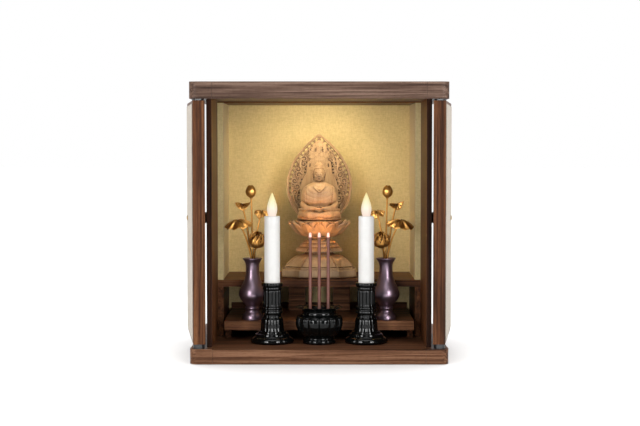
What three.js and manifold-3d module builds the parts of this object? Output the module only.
// Household altar cabinet with its doors folded back along its sides. It holds a carved seated figure
// on a lotus pedestal with an openwork halo, two vases of gilt lotus, two candlesticks and a burner.
// Millimetres, +Z up, origin on the floor under the middle of the case, front towards -Y.

import * as THREE from "three";
import { mergeVertices } from "three/addons/utils/BufferGeometryUtils.js";
import Module from "manifold-3d";

const wasm = await Module();
wasm.setup();

// Gap between two pieces that touch
const FIT = 0.3;

// Case
const CASE_WIDTH = 400;
const CASE_DEPTH = 330;
const CASE_HEIGHT = 435;
const TOP_THICKNESS = 26;
const BASE_THICKNESS = 22.2;
const WALL_THICKNESS = 8;
const SIDE_PANEL_THICKNESS = 9;
const CEILING_BOARD = 2.2;
const CORNER_WIDTH = 35;
const CORNER_RADIUS = 12;
const CORNER_RAISE = 1;
const BACK_THICKNESS = 5;
const BACK_RECESS = 12;
const LINING = 1;

// Doors
const DOOR_THICKNESS = 19;
const DOOR_LINING = 0.7;
const DOOR_EDGE_RADIUS = 1.5;
const DOOR_INSET = 3.4;
const DOOR_SETBACK = 3;
const DOOR_MEETING_GAP = 1.2;
const DOOR_CLEARANCE = 2;
const DOOR_GAP_BELOW = 7.1;
const DOOR_GAP_ABOVE = 3;
const DOOR_SPLAY = THREE.MathUtils.degToRad(7.5);
const LINING_BORDER = 5;
const PIVOT_TO_EDGE = 10.1;
const PIVOT_SWING_GAP = 1.7;
const PIVOT_RADIUS = 9;
const PIN_RADIUS = 3;
const PIN_LENGTH = 10;
const KNOB_RADIUS = 9.2;
const KNOB_NECK_RADIUS = 5;
const KNOB_NECK_LENGTH = 6;
const KNOB_FROM_FREE_EDGE = 33;
const SCREW_RADIUS = 4.5;
const SCREW_HEIGHT = 2;

// Stepped shelves inside the case
const LOWER_TIER_RISE = 15.8;
const LOWER_TIER_THICKNESS = 14.8;
const LOWER_TIER_SETBACK = 118;
const LOWER_TIER_SIDE_GAP = 3.9;
const UPPER_TIER_RISE = 51.7;
const UPPER_TIER_THICKNESS = 11.4;
const UPPER_TIER_SETBACK = 160;
const CLEAT_WIDTH = 9;
const CLEAT_SETBACK = 30;
const SUPPORT_WIDTH = 29;
const SUPPORT_DEPTH = 34;
const SUPPORT_OFFSET = 38.5;
const SKIRTING_HEIGHT = 9.6;
const SKIRTING_THICKNESS = 2;

// Candlesticks and candles
const CANDLESTICK_OFFSET = 75;
const CANDLESTICK_SETBACK = 84;
const CANDLESTICK_HEIGHT = 96.2;
const CANDLESTICK_FOOT_RADIUS = 34.4;
const CANDLESTICK_SHAFT_RADIUS = 14.7;
const CANDLESTICK_RIM_RADIUS = 17.2;
const CANDLE_RADIUS = 12.4;
const CANDLE_HEIGHT = 107.8;
const CANDLE_SOCKET = 2;
const CANDLE_WALL = 1.6;
const WICK_WELL_DEPTH = 4;
const FLAME_RADIUS = 8.2;
const FLAME_HEIGHT = 41.5;

// Incense burner and sticks
const BURNER_SETBACK = 78;
const BURNER_HEIGHT = 59.2;
const BURNER_BODY_RADIUS = 38.6;
const BURNER_RIM_RADIUS = 34.7;
const BURNER_NECK_RADIUS = 25.1;
const BURNER_FOOT_RADIUS = 25.6;
const BURNER_WALL = 3;
const BURNER_PLATE_HEIGHT = 43;
const BURNER_LOBES = 12;
const STICK_RADIUS = 2.6;
const STICK_HEIGHT = 133;
const STICK_SPACING = 14.3;
const STICK_COLLAR_RADIUS = 3.6;
const STICK_COLLAR_HEIGHT = 5;

// Flower vases and gilt lotus sprays
const VASE_FROM_LINING = 48.7;
const VASE_SETBACK = 137;
const VASE_HEIGHT = 100.6;
const VASE_FOOT_RADIUS = 16.5;
const VASE_WAIST_RADIUS = 10.8;
const VASE_BELLY_RADIUS = 22.2;
const VASE_NECK_RADIUS = 10.3;
const VASE_RIM_RADIUS = 15.9;
const VASE_WALL = 1.7;
const VASE_RING = 1.6;
const SPRAY_HEIGHT = 100;
const STEM_RADIUS = 1.15;
const STEM_CIRCLE = 2.6;
const STEM_FIRST_ANGLE = THREE.MathUtils.degToRad(-125);
const LEAF_THICKNESS = 1.3;

// Carved figure, seat, pedestal and halo
const STATUE_SETBACK = 222;
const PEDESTAL_HALF_WIDTH = 62.3;
const PEDESTAL_HALF_DEPTH = 45;
const PEDESTAL_HEIGHT = 67.6;
const SEAT_HALF_WIDTH = 53;
const SEAT_HALF_DEPTH = 41;
const SEAT_HEIGHT = 27.2;
const FIGURE_HEIGHT = 96;
const HALO_HEIGHT = 145.5;
const HALO_HALF_WIDTH = 54.4;
const HALO_THICKNESS = 4;
const HALO_BEHIND = 31;
const HALO_RIM_WIDTH = 3.2;

// Colours and surfaces
const WALNUT = { color: 0x6b4a3a, roughness: 0.45, metalness: 0 };
const WALNUT_END = { color: 0x73584a, roughness: 0.5, metalness: 0 };
const GOLD_CLOTH = { color: 0xe6cd86, roughness: 0.75, metalness: 0.1 };
const PALE_CLOTH = { color: 0xcdc2b2, roughness: 0.85, metalness: 0 };
const BLACK_FITTING = { color: 0x17171a, roughness: 0.4, metalness: 0 };
const BRASS = { color: 0x9a7638, roughness: 0.35, metalness: 1 };
const BLACK_LACQUER = { color: 0x0b0d0c, roughness: 0.12, metalness: 0 };
const CANDLE_WHITE = { color: 0xf2f0ea, roughness: 0.5, metalness: 0 };
const FLAME_WARM = { color: 0xffd28a, roughness: 0.35, metalness: 0 };
const STICK_RED = { color: 0x8c5148, roughness: 0.6, metalness: 0 };
const VASE_PURPLE = { color: 0x5a4658, roughness: 0.25, metalness: 0.8 };
const GILT = { color: 0xa87c38, roughness: 0.35, metalness: 0.9 };
const CARVED_WOOD = { color: 0xc5946a, roughness: 0.6, metalness: 0 };

// Places worked out from the sizes above
const FRONT = -CASE_DEPTH / 2;
const BACK = CASE_DEPTH / 2;
const FLOOR = BASE_THICKNESS;
const CEILING = CASE_HEIGHT - TOP_THICKNESS;
const LEAF_THICKNESS_ALL = DOOR_THICKNESS + FIT + DOOR_LINING;
const PIVOT_X = CASE_WIDTH / 2 - DOOR_INSET - PIVOT_TO_EDGE;
const PIVOT_Y = FRONT + DOOR_SETBACK + LEAF_THICKNESS_ALL / 2;
const WALL_OUTER = PIVOT_X - LEAF_THICKNESS_ALL / 2 - PIVOT_SWING_GAP;
const WALL_INNER = WALL_OUTER - WALL_THICKNESS;
const WALL_FRONT = FRONT + DOOR_SETBACK + LEAF_THICKNESS_ALL + DOOR_CLEARANCE;
const INNER_HALF = WALL_INNER - SIDE_PANEL_THICKNESS - FIT;
const INNER_FRONT = FRONT + UPPER_TIER_SETBACK;
const BACK_FACE = BACK - BACK_RECESS - BACK_THICKNESS;
const LINING_FACE = BACK_FACE - FIT - LINING;
const DOOR_WIDTH = CASE_WIDTH / 2 - DOOR_INSET - DOOR_MEETING_GAP / 2;
const KNOB_FROM_HINGE_EDGE = DOOR_WIDTH - KNOB_FROM_FREE_EDGE;
const DOOR_LOW = FLOOR + CORNER_RAISE + DOOR_GAP_BELOW;
const DOOR_HIGH = CEILING - DOOR_GAP_ABOVE;
const VASE_OFFSET = INNER_HALF - VASE_FROM_LINING;
const LOWER_TIER_LOW = FLOOR + LOWER_TIER_RISE;
const LOWER_TIER_TOP = LOWER_TIER_LOW + LOWER_TIER_THICKNESS;
const UPPER_TIER_LOW = LOWER_TIER_TOP + UPPER_TIER_RISE;
const UPPER_TIER_TOP = UPPER_TIER_LOW + UPPER_TIER_THICKNESS;

const TURN = 2 * Math.PI;
const SIDES = { left: -1, right: 1 };

// Adds one named piece with a surface of its own.
function piece(parent, name, geometry, surface) {
  const mesh = new THREE.Mesh(geometry, new THREE.MeshStandardMaterial(surface));
  mesh.name = name;
  parent.add(mesh);
  return mesh;
}

// A plain board between two corners.
function block([x0, x1], [y0, y1], [z0, z1]) {
  const geometry = new THREE.BoxGeometry(Math.abs(x1 - x0), y1 - y0, z1 - z0);
  geometry.translate((x0 + x1) / 2, (y0 + y1) / 2, (z0 + z1) / 2);
  return geometry;
}

// A plan outline raised from one height to another.
function slab(shape, low, high) {
  const settings = { depth: high - low, bevelEnabled: false, curveSegments: 5 };
  const geometry = new THREE.ExtrudeGeometry(shape, settings);
  geometry.translate(0, 0, low);
  return geometry;
}

// A profile of [radius, height] pairs turned about the Z axis.
function turned(profile, segments) {
  const points = profile.map(([radius, height]) => new THREE.Vector2(radius, height));
  const geometry = new THREE.LatheGeometry(points, segments);
  geometry.rotateX(Math.PI / 2);
  return geometry;
}

// Moves each point of a turned form by a rule of its angle, radius and height.
function reshape(geometry, rule) {
  const position = geometry.getAttribute("position");
  for (let i = 0; i < position.count; i += 1) {
    const angle = Math.atan2(position.getY(i), position.getX(i));
    const radius = Math.hypot(position.getX(i), position.getY(i));
    const [newRadius, newHeight] = rule(angle, radius, position.getZ(i));
    position.setXYZ(i, newRadius * Math.cos(angle), newRadius * Math.sin(angle), newHeight);
  }
  return geometry;
}

// A closed skin through rings of equal length, with a fan of faces over each end.
function loft(rings) {
  const count = rings[0].length;
  const middles = [rings[0], rings[rings.length - 1]].map((ring) => {
    const sum = ring.reduce((total, point) => total.add(point), new THREE.Vector3());
    return sum.divideScalar(count);
  });
  const vertices = [...rings.flat(), ...middles];
  const firstMiddle = rings.length * count;
  const lastRow = firstMiddle - count;
  const index = [];
  for (let i = 0; i < count; i += 1) {
    const next = (i + 1) % count;
    for (let row = 0; row < lastRow; row += count) {
      index.push(row + i, row + next, row + count + next);
      index.push(row + i, row + count + next, row + count + i);
    }
    index.push(firstMiddle, next, i);
    index.push(firstMiddle + 1, lastRow + i, lastRow + next);
  }
  const geometry = new THREE.BufferGeometry().setFromPoints(vertices);
  geometry.setIndex(index);
  geometry.computeVertexNormals();
  return geometry;
}

// A level ring, wider by a share and lifted by a height that may change with the angle.
function ring(halfWidth, halfDepth, height, count, share = () => 1, lift = () => 0) {
  return Array.from({ length: count }, (_, i) => {
    const angle = (TURN * i) / count;
    const x = halfWidth * share(angle) * Math.cos(angle);
    const y = halfDepth * share(angle) * Math.sin(angle);
    return new THREE.Vector3(x, y, height + lift(angle));
  });
}

// A limb that follows a path and changes its radius along it.
function limb(points, radii, sides, steps) {
  const path = new THREE.CatmullRomCurve3(points.map((point) => new THREE.Vector3(...point)));
  const frames = path.computeFrenetFrames(steps, false);
  const rings = [];
  for (let step = 0; step <= steps; step += 1) {
    const centre = path.getPointAt(step / steps);
    const place = (step / steps) * (radii.length - 1);
    const before = Math.min(Math.floor(place), radii.length - 2);
    const radius = THREE.MathUtils.lerp(radii[before], radii[before + 1], place - before);
    rings.push(
      Array.from({ length: sides }, (_, i) => {
        const angle = (TURN * i) / sides;
        const along = frames.normals[step].clone().multiplyScalar(radius * Math.cos(angle));
        const across = frames.binormals[step].clone().multiplyScalar(radius * Math.sin(angle));
        return centre.clone().add(along).add(across);
      }),
    );
  }
  return loft(rings);
}

// A stem of constant thickness along a path.
function stem(points, radius, sides, steps) {
  const extrudePath = new THREE.CatmullRomCurve3(points.map((point) => new THREE.Vector3(...point)));
  const shape = new THREE.Shape(
    Array.from({ length: sides }, (_, i) => {
      const angle = (TURN * i) / sides;
      return new THREE.Vector2(radius * Math.cos(angle), radius * Math.sin(angle));
    }),
  );
  return new THREE.ExtrudeGeometry(shape, { steps, extrudePath, bevelEnabled: false });
}

function ellipsoid([halfWidth, halfDepth, halfHeight], centre, around, along) {
  const geometry = new THREE.SphereGeometry(1, around, along);
  geometry.rotateX(Math.PI / 2);
  geometry.scale(halfWidth, halfDepth, halfHeight);
  geometry.translate(...centre);
  return geometry;
}

// Joining and cutting of closed forms.
function solidOf(geometry) {
  const bare = geometry.clone();
  bare.deleteAttribute("normal");
  bare.deleteAttribute("uv");
  const merged = mergeVertices(bare);
  const vertProperties = new Float32Array(merged.getAttribute("position").array);
  const triVerts = new Uint32Array(merged.index.array);
  return new wasm.Manifold(new wasm.Mesh({ numProp: 3, vertProperties, triVerts }));
}

function geometryOf(solid) {
  const { vertProperties, triVerts } = solid.getMesh();
  const geometry = new THREE.BufferGeometry();
  geometry.setAttribute("position", new THREE.BufferAttribute(vertProperties, 3));
  geometry.setIndex(new THREE.BufferAttribute(triVerts, 1));
  geometry.computeVertexNormals();
  return geometry;
}

function joined(...geometries) {
  return geometryOf(geometries.map(solidOf).reduce((whole, next) => whole.add(next)));
}

function cut(geometry, ...tools) {
  return geometryOf(tools.map(solidOf).reduce((rest, tool) => rest.subtract(tool), solidOf(geometry)));
}

// Points of a smooth curve through [radius, height] pairs.
function smoothProfile(pairs, count) {
  const curve = new THREE.SplineCurve(pairs.map((pair) => new THREE.Vector2(...pair)));
  return curve.getPoints(count).map((point) => [point.x, point.y]);
}

// The top and base panels have their front corners cut out for the round corner blocks.
function panelOutline() {
  const half = CASE_WIDTH / 2;
  const notch = half - CORNER_WIDTH - FIT;
  const notchBack = WALL_FRONT;
  const shape = new THREE.Shape();
  shape.moveTo(-notch, FRONT);
  shape.lineTo(notch, FRONT);
  shape.lineTo(notch, notchBack);
  shape.lineTo(half, notchBack);
  shape.lineTo(half, BACK);
  shape.lineTo(-half, BACK);
  shape.lineTo(-half, notchBack);
  shape.lineTo(-notch, notchBack);
  shape.closePath();
  return shape;
}

function cornerOutline(side) {
  const half = CASE_WIDTH / 2;
  const roundX = side * (half - CORNER_RADIUS);
  const roundY = FRONT + CORNER_RADIUS;
  const blockBack = WALL_FRONT - FIT;
  const shape = new THREE.Shape();
  shape.moveTo(side * (half - CORNER_WIDTH), FRONT);
  shape.lineTo(roundX, FRONT);
  shape.absarc(roundX, roundY, CORNER_RADIUS, -Math.PI / 2, side > 0 ? 0 : -Math.PI, side < 0);
  shape.lineTo(side * half, blockBack);
  shape.lineTo(side * (half - CORNER_WIDTH), blockBack);
  shape.closePath();
  return shape;
}

function makeCase(altar) {
  piece(altar, "base_panel", slab(panelOutline(), 0, FLOOR), WALNUT);
  piece(altar, "top_panel", slab(panelOutline(), CEILING, CASE_HEIGHT), WALNUT);
  const backZ = [FLOOR, CEILING];
  const innerY = [INNER_FRONT, LINING_FACE - FIT];
  for (const [name, side] of Object.entries(SIDES)) {
    const outline = cornerOutline(side);
    piece(altar, `base_corner_${name}`, slab(outline, 0, FLOOR + CORNER_RAISE), WALNUT_END);
    piece(altar, `top_corner_${name}`, slab(outline, CEILING, CASE_HEIGHT), WALNUT_END);
    const wall = block([side * WALL_INNER, side * WALL_OUTER], [WALL_FRONT, BACK], backZ);
    piece(altar, `side_wall_${name}`, wall, WALNUT);
    const panelX = [side * (WALL_INNER - SIDE_PANEL_THICKNESS), side * WALL_INNER];
    const lining = block(panelX, innerY, [UPPER_TIER_TOP, CEILING - CEILING_BOARD]);
    piece(altar, `side_lining_${name}`, lining, GOLD_CLOTH);
    const leg = block(panelX, innerY, [FLOOR, UPPER_TIER_LOW]);
    piece(altar, `upper_tier_leg_${name}`, leg, WALNUT);
  }
  const ceiling = block([-WALL_INNER, WALL_INNER], innerY, [CEILING - CEILING_BOARD, CEILING]);
  piece(altar, "ceiling_board", ceiling, WALNUT);
  const backX = [-WALL_INNER, WALL_INNER];
  piece(altar, "back_panel", block(backX, [BACK_FACE, BACK - BACK_RECESS], backZ), WALNUT);
  piece(altar, "back_lining", block(backX, [LINING_FACE, BACK_FACE - FIT], backZ), GOLD_CLOTH);
}

// Two stepped shelves. The lower one stands on cleats, and the upper one lies on the legs under the
// side panels, with two blocks below it and a skirting at the back.
function makeTiers(altar) {
  const shelfBack = LINING_FACE - FIT;
  const lowerHalf = INNER_HALF - LOWER_TIER_SIDE_GAP;
  const lowerX = [-lowerHalf, lowerHalf];
  const lowerFront = FRONT + LOWER_TIER_SETBACK;
  const lower = block(lowerX, [lowerFront, shelfBack], [LOWER_TIER_LOW, LOWER_TIER_TOP]);
  piece(altar, "lower_tier_board", lower, WALNUT);
  const upperX = [-WALL_INNER, WALL_INNER];
  const upper = block(upperX, [INNER_FRONT, shelfBack], [UPPER_TIER_LOW, UPPER_TIER_TOP]);
  piece(altar, "upper_tier_board", upper, WALNUT);
  const skirtingZ = [LOWER_TIER_TOP, LOWER_TIER_TOP + SKIRTING_HEIGHT];
  const skirting = block(lowerX, [shelfBack - SKIRTING_THICKNESS, shelfBack], skirtingZ);
  piece(altar, "back_skirting", skirting, WALNUT);
  for (const [name, side] of Object.entries(SIDES)) {
    const cleatX = [side * (lowerHalf - CLEAT_WIDTH), side * lowerHalf];
    const cleatY = [lowerFront + CLEAT_SETBACK, shelfBack];
    const cleat = block(cleatX, cleatY, [FLOOR, LOWER_TIER_LOW]);
    piece(altar, `lower_tier_cleat_${name}`, cleat, WALNUT);
    const supportX = [
      side * (SUPPORT_OFFSET - SUPPORT_WIDTH / 2),
      side * (SUPPORT_OFFSET + SUPPORT_WIDTH / 2),
    ];
    const supportBack = shelfBack - SKIRTING_THICKNESS - FIT;
    const supportY = [supportBack - SUPPORT_DEPTH, supportBack];
    const support = block(supportX, supportY, [LOWER_TIER_TOP, UPPER_TIER_LOW]);
    piece(altar, `upper_tier_support_${name}`, support, WALNUT);
  }
}

// How far a knob reaches from the door before its head would touch the side wall.
function knobReach() {
  const along = KNOB_FROM_HINGE_EDGE - PIVOT_TO_EDGE;
  const half = LEAF_THICKNESS_ALL / 2;
  const room = half + PIVOT_SWING_GAP + along * Math.sin(DOOR_SPLAY) - half * Math.cos(DOOR_SPLAY);
  return room / Math.cos(DOOR_SPLAY) - KNOB_RADIUS * Math.tan(DOOR_SPLAY) - FIT;
}

// Each door turns on two pins at its outer front corner. Its own frame has the pin axis as origin
// and holds the leaf as it stands when closed, so that one turn lays it back along the side wall.
function makeDoor(altar, name, side) {
  const door = new THREE.Group();
  door.position.set(side * PIVOT_X, PIVOT_Y, 0);
  door.rotation.z = side * ((3 * Math.PI) / 2 - DOOR_SPLAY);
  altar.add(door);

  const half = LEAF_THICKNESS_ALL / 2;
  const near = PIVOT_TO_EDGE;
  const far = near - DOOR_WIDTH;
  const faceIn = half - DOOR_LINING - FIT;
  const edge = DOOR_EDGE_RADIUS;
  const shape = new THREE.Shape();
  shape.moveTo(far + edge, -half);
  shape.lineTo(near - edge, -half);
  shape.absarc(near - edge, edge - half, edge, -Math.PI / 2, 0);
  shape.lineTo(near, faceIn - edge);
  shape.absarc(near - edge, faceIn - edge, edge, 0, Math.PI / 2);
  shape.lineTo(far, faceIn);
  shape.lineTo(far, edge - half);
  shape.absarc(far + edge, edge - half, edge, Math.PI, (3 * Math.PI) / 2);
  const board = slab(shape, DOOR_LOW, DOOR_HIGH);
  const boreDepth = PIN_LENGTH + FIT;
  const bores = [DOOR_LOW, DOOR_HIGH].map((end) => {
    const bore = new THREE.CylinderGeometry(PIN_RADIUS + FIT, PIN_RADIUS + FIT, 2 * boreDepth, 12);
    bore.rotateX(Math.PI / 2);
    bore.translate(0, 0, end);
    return bore;
  });
  const leaf = cut(board, ...bores);
  const liningX = [far + LINING_BORDER, near - LINING_BORDER];
  const liningZ = [DOOR_LOW + LINING_BORDER, DOOR_HIGH - LINING_BORDER];
  const lining = block(liningX, [half - DOOR_LINING, half], liningZ);
  // The shapes above are those of the right door, and the left one is their mirror image.
  for (const geometry of [leaf, lining]) {
    if (side < 0) mirror(geometry);
  }
  piece(door, `door_${name}`, leaf, WALNUT);
  piece(door, `door_lining_${name}`, lining, PALE_CLOTH);

  const knobX = side * (PIVOT_TO_EDGE - KNOB_FROM_HINGE_EDGE);
  const middle = (DOOR_LOW + DOOR_HIGH) / 2;
  const reach = knobReach();
  const headEdge = KNOB_NECK_RADIUS / 2;
  const knob = turned(
    [
      [0, FIT],
      [KNOB_NECK_RADIUS, FIT],
      [KNOB_NECK_RADIUS, KNOB_NECK_LENGTH],
      [KNOB_RADIUS - FIT, KNOB_NECK_LENGTH],
      [KNOB_RADIUS, KNOB_NECK_LENGTH + headEdge / 2],
      [KNOB_RADIUS, reach - headEdge / 2],
      [KNOB_RADIUS - headEdge / 2, reach],
      [0, reach],
    ],
    12,
  );
  knob.rotateX(Math.PI / 2);
  knob.translate(knobX, -half, middle);
  piece(door, `door_knob_${name}`, knob, BLACK_FITTING);
  const screw = turned(
    [
      [0, FIT],
      [SCREW_RADIUS, FIT],
      [SCREW_RADIUS * 0.9, SCREW_HEIGHT * 0.6],
      [SCREW_RADIUS * 0.5, SCREW_HEIGHT],
      [0, SCREW_HEIGHT],
    ],
    10,
  );
  screw.rotateX(-Math.PI / 2);
  screw.translate(knobX, half, middle);
  piece(door, `knob_screw_${name}`, screw, BRASS);

  const low = FLOOR + CORNER_RAISE + FIT;
  const lowPivot = pivot(low, DOOR_LOW - FIT, DOOR_LOW + PIN_LENGTH - FIT);
  piece(door, `door_pivot_bottom_${name}`, lowPivot, BLACK_FITTING);
  const highPivot = pivot(CEILING - FIT, DOOR_HIGH + FIT, DOOR_HIGH - PIN_LENGTH + FIT);
  piece(door, `door_pivot_top_${name}`, highPivot, BLACK_FITTING);
}

function mirror(geometry) {
  geometry.scale(-1, 1, 1);
  if (!geometry.index) {
    const count = geometry.getAttribute("position").count;
    geometry.setIndex(Array.from({ length: count }, (_, i) => i));
  }
  const corners = geometry.index.array;
  for (let i = 0; i < corners.length; i += 3) {
    [corners[i + 1], corners[i + 2]] = [corners[i + 2], corners[i + 1]];
  }
  geometry.computeVertexNormals();
}

// A disc between the door and the panel, with a pin into the door.
function pivot(discEnd, doorEnd, pinEnd) {
  const profile = [
    [0, discEnd],
    [PIVOT_RADIUS, discEnd],
    [PIVOT_RADIUS, doorEnd],
    [PIN_RADIUS, doorEnd],
    [PIN_RADIUS, pinEnd],
    [0, pinEnd],
  ];
  return turned(pinEnd > discEnd ? profile : profile.reverse(), 12);
}

// Heights are shares of the candlestick's height, radii shares of its foot, shaft and rim.
function candlestickProfile() {
  const foot = CANDLESTICK_FOOT_RADIUS;
  const shaft = CANDLESTICK_SHAFT_RADIUS;
  const rim = CANDLESTICK_RIM_RADIUS;
  const outline = [
    [foot, 0],
    [foot, 0.085],
    [foot * 0.72, 0.13],
    [foot * 0.6, 0.18],
    [shaft * 1.2, 0.26],
    [shaft * 1.16, 0.37],
    [shaft * 0.97, 0.45],
    [shaft * 1.15, 0.53],
    [shaft * 1.15, 0.585],
    [shaft, 0.61],
    [shaft, 0.88],
    [rim, 0.94],
    [rim, 1],
  ].map(([radius, share]) => [radius, share * CANDLESTICK_HEIGHT]);
  const socket = CANDLE_RADIUS + FIT;
  const socketFloor = CANDLESTICK_HEIGHT - CANDLE_SOCKET;
  return [[0, 0], ...outline, [socket, CANDLESTICK_HEIGHT], [socket, socketFloor], [0, socketFloor]];
}

function makeCandle(altar, name, side) {
  const stand = new THREE.Group();
  stand.position.set(side * CANDLESTICK_OFFSET, FRONT + CANDLESTICK_SETBACK, FLOOR + FIT);
  altar.add(stand);
  const flutes = 12;
  const lobesLow = CANDLESTICK_HEIGHT * 0.2;
  const fluteLow = CANDLESTICK_HEIGHT * 0.6;
  const fluteHigh = CANDLESTICK_HEIGHT * 0.89;
  const body = reshape(turned(candlestickProfile(), 2 * flutes), (angle, radius, height) => {
    if (height < lobesLow || height > fluteHigh) return [radius, height];
    const depth = height > fluteLow ? 0.07 : 0.04;
    return [radius * (1 - (depth / 2) * (1 + Math.cos(flutes * angle))), height];
  });
  piece(stand, `candlestick_${name}`, body, BLACK_LACQUER);

  const candleLow = CANDLESTICK_HEIGHT - CANDLE_SOCKET + FIT;
  const candleTop = candleLow + CANDLE_HEIGHT;
  const well = candleTop - WICK_WELL_DEPTH;
  const inner = CANDLE_RADIUS - CANDLE_WALL;
  const candle = turned(
    [
      [0, candleLow],
      [CANDLE_RADIUS, candleLow],
      [CANDLE_RADIUS, candleTop - CANDLE_WALL / 2],
      [CANDLE_RADIUS - CANDLE_WALL / 2, candleTop],
      [inner, candleTop - CANDLE_WALL],
      [inner * 0.55, well],
      [0, well],
    ],
    16,
  );
  piece(stand, `candle_${name}`, candle, CANDLE_WHITE);

  const flame = turned(
    [
      [0, 0],
      [0.52, 0.0],
      [0.8, 0.16],
      [1, 0.38],
      [0.88, 0.58],
      [0.52, 0.8],
      [0.2, 0.93],
      [0, 1],
    ].map(([share, height]) => [share * FLAME_RADIUS, well + FIT + height * FLAME_HEIGHT]),
    10,
  );
  piece(stand, `candle_flame_${name}`, flame, FLAME_WARM);
}

// Twelve melon lobes below a waved, flared rim. Inside is a flat plate that the sticks stand on.
function makeBurner(altar) {
  const burner = new THREE.Group();
  burner.position.set(0, FRONT + BURNER_SETBACK, FLOOR + FIT);
  altar.add(burner);
  const height = BURNER_HEIGHT;
  const mouth = BURNER_NECK_RADIUS - BURNER_WALL;
  const profile = [
    [0, 0],
    [BURNER_FOOT_RADIUS, 0],
    [BURNER_FOOT_RADIUS * 0.92, height * 0.1],
    [BURNER_FOOT_RADIUS, height * 0.19],
    [BURNER_BODY_RADIUS * 0.9, height * 0.33],
    [BURNER_BODY_RADIUS, height * 0.52],
    [BURNER_BODY_RADIUS * 0.92, height * 0.66],
    [BURNER_NECK_RADIUS * 1.08, height * 0.76],
    [BURNER_NECK_RADIUS, height * 0.83],
    [BURNER_RIM_RADIUS, height * 0.97],
    [BURNER_RIM_RADIUS - BURNER_WALL / 2, height],
    [mouth, height * 0.88],
    [mouth, BURNER_PLATE_HEIGHT],
    [0, BURNER_PLATE_HEIGHT],
  ];
  const bodyLow = height * 0.2;
  const bodyHigh = height * 0.74;
  const rimLow = height * 0.95;
  const bowl = reshape(turned(profile, 3 * BURNER_LOBES), (angle, radius, z) => {
    const lobe = Math.abs(Math.sin((BURNER_LOBES * angle) / 2));
    const onBody = z > bodyLow && z < bodyHigh;
    const petal = Math.abs(Math.cos((BURNER_LOBES * angle) / 2));
    const onRim = z > rimLow;
    if (onBody) return [radius * (0.93 + 0.08 * lobe), z];
    if (onRim) return [radius * (0.95 + 0.05 * petal), z - height * 0.05 * (1 - petal)];
    return [radius, z];
  });
  piece(burner, "incense_burner", bowl, BLACK_LACQUER);

  ["left", "middle", "right"].forEach((name, i) => {
    const base = BURNER_PLATE_HEIGHT + FIT;
    const stick = turned(
      [
        [0, base],
        [STICK_COLLAR_RADIUS, base],
        [STICK_COLLAR_RADIUS, base + STICK_COLLAR_HEIGHT],
        [STICK_RADIUS, base + STICK_COLLAR_HEIGHT],
        [STICK_RADIUS, base + STICK_HEIGHT - STICK_RADIUS / 2],
        [STICK_RADIUS / 2, base + STICK_HEIGHT],
        [0, base + STICK_HEIGHT],
      ],
      8,
    );
    stick.translate((i - 1) * STICK_SPACING, 0, 0);
    piece(burner, `incense_stick_${name}`, stick, STICK_RED);
  });
}

function vaseOutline() {
  const height = VASE_HEIGHT;
  const foot = [
    [VASE_FOOT_RADIUS, 0],
    [VASE_FOOT_RADIUS, height * 0.035],
    [VASE_FOOT_RADIUS * 0.9, height * 0.09],
    [VASE_FOOT_RADIUS * 0.7, height * 0.12],
    [VASE_WAIST_RADIUS, height * 0.17],
    [VASE_WAIST_RADIUS + VASE_RING, height * 0.19],
  ];
  const body = smoothProfile(
    [
      [VASE_WAIST_RADIUS, height * 0.23],
      [VASE_BELLY_RADIUS * 0.82, height * 0.31],
      [VASE_BELLY_RADIUS, height * 0.4],
      [VASE_BELLY_RADIUS * 0.88, height * 0.51],
      [VASE_NECK_RADIUS * 1.3, height * 0.64],
      [VASE_NECK_RADIUS, height * 0.8],
      [VASE_NECK_RADIUS * 1.07, height * 0.9],
      [VASE_RIM_RADIUS, height],
    ],
    10,
  );
  return { foot, body };
}

// A round leaf with a waved hem, its sizes in shares of the spray's height. It lies in its own frame
// with its stem joint at the origin.
function leaf({ halfWidth, halfDepth, droop, waves, wave }) {
  const around = 12;
  const rows = 2;
  const tall = SPRAY_HEIGHT;
  const face = (offset) =>
    Array.from({ length: rows }, (_, row) => {
      const share = (row + 1) / rows;
      const lift = (angle) => tall * share * share * (wave * Math.cos(waves * angle) - droop) + offset;
      return ring(halfWidth * tall * share, halfDepth * tall * share, 0, around, () => 1, lift);
    });
  const lower = face(-LEAF_THICKNESS);
  const upper = face(0).reverse();
  return loft([...lower, ...upper]);
}

// A bud or bloom: a turned form with its sides drawn in between the petals.
function blossom(profile, petals, depth) {
  return reshape(turned(profile, 2 * petals), (angle, radius, height) => {
    return [radius * (1 - depth / 2 + (depth / 2) * Math.cos(petals * angle)), height];
  });
}

function bud(radius, height) {
  const shares = [
    [0, 0],
    [0.45, 0.06],
    [0.95, 0.32],
    [0.85, 0.6],
    [0.42, 0.86],
    [0, 1],
  ];
  return blossom(shares.map(([r, z]) => [r * radius, z * height]), 6, 0.16);
}

function bloom(radius, height) {
  const shares = [
    [0, 0],
    [0.5, 0.05],
    [0.92, 0.3],
    [1, 0.55],
    [0.74, 0.86],
    [0.5, 1],
    [0.36, 0.84],
    [0, 0.8],
  ];
  return blossom(shares.map(([r, z]) => [r * radius, z * height]), 8, 0.2);
}

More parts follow.
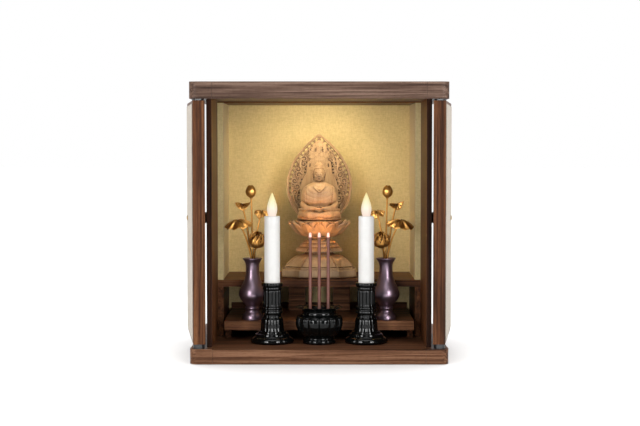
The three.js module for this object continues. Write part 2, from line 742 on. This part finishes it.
// What grows on each stem, in order round the mouth: place [outward, forward, up] from the mouth in
// shares of the spray's height, form and tilt. A tilt turns the form about Y towards the side wall
// and about X towards the front.
function sprayForms() {
  const tall = SPRAY_HEIGHT;
  return {
    lotus_bloom: { at: [-0.07, 0.1, 0.23], form: bloom(0.13 * tall, 0.25 * tall), tilt: [-0.12, 0.5] },
    broad_leaf: {
      at: [0.23, 0.12, 0.62],
      form: leaf({ halfWidth: 0.2, halfDepth: 0.13, droop: 0.12, waves: 5, wave: 0.02 }),
      tilt: [0.2, 0.3],
    },
    curled_leaf: {
      at: [0.17, -0.09, 0.9],
      form: leaf({ halfWidth: 0.12, halfDepth: 0.09, droop: 0.09, waves: 3, wave: 0.012 }),
      tilt: [0.25, 0.1],
    },
    lotus_bud: { at: [0.02, -0.03, 1], form: bud(0.076 * tall, 0.22 * tall), tilt: [0.05, 0] },
    small_leaf: {
      at: [-0.145, -0.07, 0.76],
      form: leaf({ halfWidth: 0.11, halfDepth: 0.09, droop: 0.06, waves: 4, wave: 0.01 }),
      tilt: [-0.2, 0.35],
    },
  };
}

function makeVase(altar, name, side) {
  const stand = new THREE.Group();
  stand.position.set(side * VASE_OFFSET, FRONT + VASE_SETBACK, LOWER_TIER_TOP + FIT);
  altar.add(stand);
  const { foot, body } = vaseOutline();
  const inside = body
    .filter((_, i) => i % 2 === 0 && i > 0)
    .map(([radius, height]) => [radius - VASE_WALL, height])
    .reverse();
  inside[0][1] = VASE_HEIGHT - VASE_WALL;
  const floorHeight = inside[inside.length - 1][1];
  const profile = [[0, 0], ...foot, ...body, ...inside, [0, floorHeight]];
  piece(stand, `vase_${name}`, turned(profile, 14), VASE_PURPLE);

  Object.entries(sprayForms()).forEach(([form, { at, form: geometry, tilt }], i, all) => {
    const angle = STEM_FIRST_ANGLE + (TURN * i) / all.length;
    const inX = side * STEM_CIRCLE * Math.cos(angle);
    const inY = STEM_CIRCLE * Math.sin(angle);
    const [outward, forward, up] = at.map((share) => share * SPRAY_HEIGHT);
    const end = [side * outward, -forward, VASE_HEIGHT + up];
    const mouth = [inX, inY, VASE_HEIGHT * 0.96];
    const spread = [
      THREE.MathUtils.lerp(mouth[0], end[0], 0.4),
      THREE.MathUtils.lerp(mouth[1], end[1], 0.4),
      THREE.MathUtils.lerp(mouth[2], end[2], 0.55),
    ];
    const stalk = stem(
      [[inX, inY, floorHeight + FIT], [inX, inY, VASE_HEIGHT * 0.7], mouth, spread, end],
      STEM_RADIUS,
      5,
      8,
    );
    geometry.rotateX(tilt[1]);
    geometry.rotateY(side * tilt[0]);
    geometry.translate(end[0], end[1], end[2] - STEM_RADIUS);
    piece(stand, `${form}_${name}`, joined(stalk, geometry), GILT);
  });
}

// The plan of the pedestal: a rectangle with its corners cut to make eight sides.
function eightSided(angle) {
  const across = Math.abs(Math.cos(angle));
  const along = Math.abs(Math.sin(angle));
  return 1 / Math.max(across, along, (across + along) / 1.53);
}

function petalShare(angle, petals) {
  return Math.abs(Math.sin((petals * angle) / 2));
}

function makePedestal(statue) {
  const around = 24;
  const petals = 8;
  const carved = (depth) => (angle) => eightSided(angle) * (1 - depth * (1 - petalShare(angle, petals)));
  const dip = (depth) => (angle) => -depth * petalShare(angle, petals);
  const steps = [
    [1, 0, eightSided],
    [1, 0.2, eightSided],
    [0.91, 0.2, eightSided],
    [0.9, 0.25, eightSided],
    [0.86, 0.29, carved(0.05), dip(1.2)],
    [0.77, 0.4, carved(0.06)],
    [0.6, 0.49, carved(0.04)],
    [0.42, 0.54, eightSided],
    [0.38, 0.63, eightSided],
    [0.62, 0.64, carved(0.05), dip(1)],
    [0.56, 0.74, carved(0.06)],
    [0.38, 0.83, carved(0.03)],
    [0.28, 0.89, eightSided],
    [0.31, 1, eightSided],
  ];
  const rings = steps.map(([width, height, share, lift]) => {
    const halfWidth = width * PEDESTAL_HALF_WIDTH;
    const halfDepth = width * PEDESTAL_HALF_DEPTH;
    return ring(halfWidth, halfDepth, height * PEDESTAL_HEIGHT, around, share, lift);
  });
  piece(statue, "statue_pedestal", loft(rings), CARVED_WOOD);
}

// An open lotus: a bowl of petals whose tips stand up round a flat seat.
function makeSeat(statue) {
  const petals = 12;
  const around = 3 * petals;
  const carved = (depth) => (angle) => 1 - depth * (1 - petalShare(angle, petals));
  const raise = (height) => (angle) => height * (petalShare(angle, petals) - 1);
  const steps = [
    [0.36, 0],
    [0.62, 0.1, carved(0.04)],
    [0.86, 0.3, carved(0.06)],
    [0.98, 0.5, carved(0.1)],
    [1, 0.66, carved(0.14), raise(5)],
    [0.86, 0.64, carved(0.08)],
    [0.84, 0.94, carved(0.12), raise(4)],
    [0.74, 0.9],
    [0.7, 0.99],
  ];
  const rings = steps.map(([width, height, share, lift]) => {
    const halfWidth = width * SEAT_HALF_WIDTH;
    const halfDepth = width * SEAT_HALF_DEPTH;
    return ring(halfWidth, halfDepth, height * SEAT_HEIGHT, around, share, lift);
  });
  const seat = loft(rings);
  seat.translate(0, 0, PEDESTAL_HEIGHT + FIT);
  piece(statue, "lotus_seat", seat, CARVED_WOOD);
}

// The figure sits cross-legged with its hands in its lap. All sizes are shares of its height.
function makeFigure(statue) {
  const h = FIGURE_HEIGHT;
  const at = (...shares) => shares.map((share) => share * h);
  const frontness = (angle) => Math.max(0, -Math.sin(angle));
  const legs = loft(
    [
      [0.37, 0.26, 0],
      [0.405, 0.285, 0.04],
      [0.4, 0.28, 0.1],
      [0.345, 0.25, 0.16],
      [0.24, 0.2, 0.21],
    ].map(([width, depth, height], row) => {
      const fold = (angle) => 1 + 0.025 * Math.cos(10 * angle + row * 2);
      return ring(width * h, depth * h, height * h, 20, fold);
    }),
  );
  // Robe folds hang in curves that run round the neck.
  const neckHeight = 0.66;
  const torso = loft(
    [
      [0.24, 0.19, 0.12],
      [0.225, 0.175, 0.2],
      [0.215, 0.165, 0.26],
      [0.22, 0.165, 0.31],
      [0.235, 0.165, 0.36],
      [0.25, 0.165, 0.41],
      [0.265, 0.16, 0.46],
      [0.275, 0.155, 0.51],
      [0.27, 0.14, 0.56],
      [0.22, 0.12, 0.6],
      [0.13, 0.1, 0.63],
      [0.085, 0.085, 0.66],
    ].map(([width, depth, height]) => {
      const fold = (angle) => {
        const across = width * Math.cos(angle);
        const fromNeck = Math.hypot(across, neckHeight - height);
        return 1 + 0.035 * frontness(angle) * Math.cos((TURN * fromNeck) / 0.1);
      };
      return ring(width * h, depth * h, height * h, 16, fold);
    }),
  );
  const parts = [legs, torso];
  for (const side of Object.values(SIDES)) {
    const armPath = [
      at(side * 0.24, 0, 0.57),
      at(side * 0.3, -0.01, 0.42),
      at(side * 0.3, -0.06, 0.28),
      at(side * 0.2, -0.19, 0.2),
      at(side * 0.06, -0.24, 0.19),
    ];
    parts.push(limb(armPath, at(0.06, 0.085, 0.095, 0.07, 0.045), 7, 6));
    parts.push(ellipsoid(at(0.022, 0.03, 0.075), at(side * 0.112, 0.01, 0.76), 6, 4));
  }
  parts.push(ellipsoid(at(0.09, 0.06, 0.045), at(0, -0.25, 0.2), 7, 5));
  const neck = turned(
    [
      [0, 0.6],
      [0.075, 0.6],
      [0.062, 0.66],
      [0.07, 0.72],
      [0, 0.72],
    ].map(([radius, height]) => [radius * h, height * h]),
    8,
  );
  parts.push(neck);
  parts.push(ellipsoid(at(0.106, 0.125, 0.145), at(0, -0.015, 0.79), 12, 8));
  parts.push(ellipsoid(at(0.062, 0.07, 0.06), at(0, 0.01, 0.94), 8, 5));
  const figure = joined(...parts);
  figure.translate(0, 0, PEDESTAL_HEIGHT + SEAT_HEIGHT + 2 * FIT);
  piece(statue, "buddha_figure", figure, CARVED_WOOD);
}

// Half the halo's width at a share of its height: a boat's plan standing on its stern.
function haloHalfWidth(share) {
  const widest = 0.4;
  if (share < widest) {
    const down = (widest - share) / widest;
    return HALO_HALF_WIDTH * Math.sqrt(Math.max(0, 1 - 0.72 * down * down));
  }
  const up = (share - widest) / (1 - widest);
  return HALO_HALF_WIDTH * (1 - up ** 1.9) ** 0.9;
}

function haloOutline(count) {
  const rightSide = Array.from({ length: count }, (_, i) => {
    const share = Math.sin((i / count) * (Math.PI / 2));
    return [haloHalfWidth(share), share * HALO_HEIGHT];
  });
  const leftSide = rightSide.map(([x, z]) => [-x, z]).reverse();
  return [...rightSide, [0, HALO_HEIGHT], ...leftSide].map((pair) => new THREE.Vector2(...pair));
}

// A leaf-shaped opening at a place in the halo, turned to follow the rim.
function haloHole(centre, radius, stretch, turn, corners) {
  const points = Array.from({ length: corners }, (_, i) => {
    const angle = (TURN * i) / corners;
    const point = new THREE.Vector2(radius * stretch * Math.cos(angle), radius * Math.sin(angle));
    return point.rotateAround(new THREE.Vector2(), turn).add(centre);
  });
  return new THREE.Path(points);
}

function makeHalo(statue) {
  const outline = haloOutline(14);
  const shape = new THREE.Shape(outline);
  const middle = new THREE.Vector2(0, HALO_HEIGHT * 0.4);
  const rimRadius = 1.7;
  const bandRadius = 2.9;
  const rows = [
    { radius: rimRadius, stretch: 1.25, inset: HALO_RIM_WIDTH + rimRadius, from: 0.3, count: 9, corners: 5 },
    { radius: bandRadius, stretch: 1.5, inset: 13.5, from: 0.25, count: 6, corners: 6 },
  ];
  for (const { radius, stretch, inset, from, count, corners } of rows) {
    for (let i = 0; i < count; i += 1) {
      const share = from + ((0.97 - from) * (i + 0.5)) / count;
      const across = haloHalfWidth(share);
      for (const side of Object.values(SIDES)) {
        const edgePoint = new THREE.Vector2(side * across, share * HALO_HEIGHT);
        const inward = middle.clone().sub(edgePoint).normalize();
        const centre = edgePoint.add(inward.clone().multiplyScalar(inset));
        if (Math.abs(centre.x) < radius * stretch + 1) continue;
        const turn = inward.angle() + Math.PI / 2;
        shape.holes.push(haloHole(centre, radius, stretch, turn, corners));
      }
    }
  }
  const plate = new THREE.ExtrudeGeometry(shape, { depth: HALO_THICKNESS, bevelEnabled: false });
  plate.rotateX(Math.PI / 2);
  plate.translate(0, HALO_BEHIND + HALO_THICKNESS, PEDESTAL_HEIGHT + SEAT_HEIGHT + 2 * FIT);
  piece(statue, "halo", plate, CARVED_WOOD);
}

function makeStatue(altar) {
  const statue = new THREE.Group();
  statue.position.set(0, FRONT + STATUE_SETBACK, UPPER_TIER_TOP + FIT);
  altar.add(statue);
  makePedestal(statue);
  makeSeat(statue);
  makeFigure(statue);
  makeHalo(statue);
}

const altar = new THREE.Group();
makeCase(altar);
makeTiers(altar);
makeStatue(altar);
makeBurner(altar);
for (const [name, side] of Object.entries(SIDES)) {
  makeDoor(altar, name, side);
  makeCandle(altar, name, side);
  makeVase(altar, name, side);
}

export default altar;
